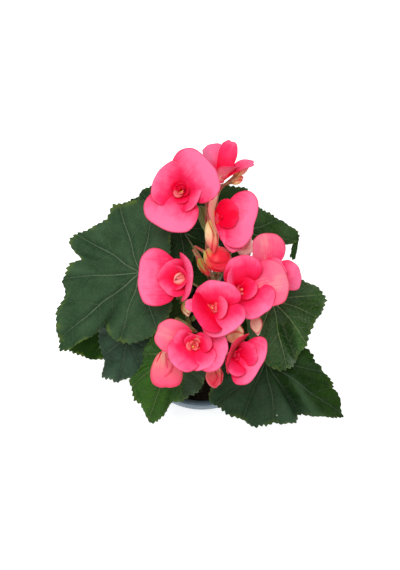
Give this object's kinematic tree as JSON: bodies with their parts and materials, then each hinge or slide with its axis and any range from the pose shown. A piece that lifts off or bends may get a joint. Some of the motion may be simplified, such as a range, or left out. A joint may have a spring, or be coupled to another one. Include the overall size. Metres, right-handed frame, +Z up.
{
  "type": "potted begonia",
  "caption": "Compact potted begonia with lobed, toothed dark green leaves and double deep pink flowers, in a round grey-blue plastic grower pot.",
  "frame": {"origin": "centre of the flat plate under the pot, on the surface the pot stands on", "axes": "+Z up along the pot's axis, -Y towards the front where the lowest flowers hang, +X to the right seen from the front"},
  "size_m": [0.2516, 0.2222, 0.3054],
  "materials": {
    "pot": "satin moulded plastic",
    "soil": "damp peat compost",
    "stem": "fleshy green stem flushed red",
    "stalk": "fine fleshy stalk flushed red",
    "leaf": "waxy veined leaf",
    "flower": "soft satin petal",
    "bud": "soft satin bud"
  },
  "bodies": {
    "root": {"pot": "pot", "soil": "soil", "stem_left": "stem", "stem_back": "stem", "stem_right": "stem", "stem_front": "stem", "leaf_left": "leaf", "leaf_left_front": "leaf", "leaf_left_low": "leaf", "leaf_back_left": "leaf", "leaf_back": "leaf", "leaf_inner_back": "leaf", "leaf_back_right": "leaf", "leaf_right_back": "leaf", "leaf_right": "leaf", "leaf_right_low": "leaf", "leaf_front_right": "leaf", "leaf_front_left": "leaf", "leaf_inner_left": "leaf", "leaf_inner_right": "leaf", "stalk_left": "stalk", "stalk_back": "stalk", "stalk_middle": "stalk", "stalk_right": "stalk", "stalk_front": "stalk", "flower_back_left": "flower", "flower_back": "flower", "flower_upper_right": "flower", "flower_left": "flower", "flower_right": "flower", "flower_right_back": "flower", "flower_centre": "flower", "flower_front": "flower", "flower_front_low": "flower", "flower_front_right": "flower", "bud_upper_flat": "bud", "bud_round": "bud", "bud_small": "bud", "bud_pale": "bud", "bud_green": "bud", "bud_cream": "bud", "bud_front": "bud", "bud_narrow": "bud", "bud_back": "bud", "bud_back_tall": "bud"}
  },
  "joints": []
}
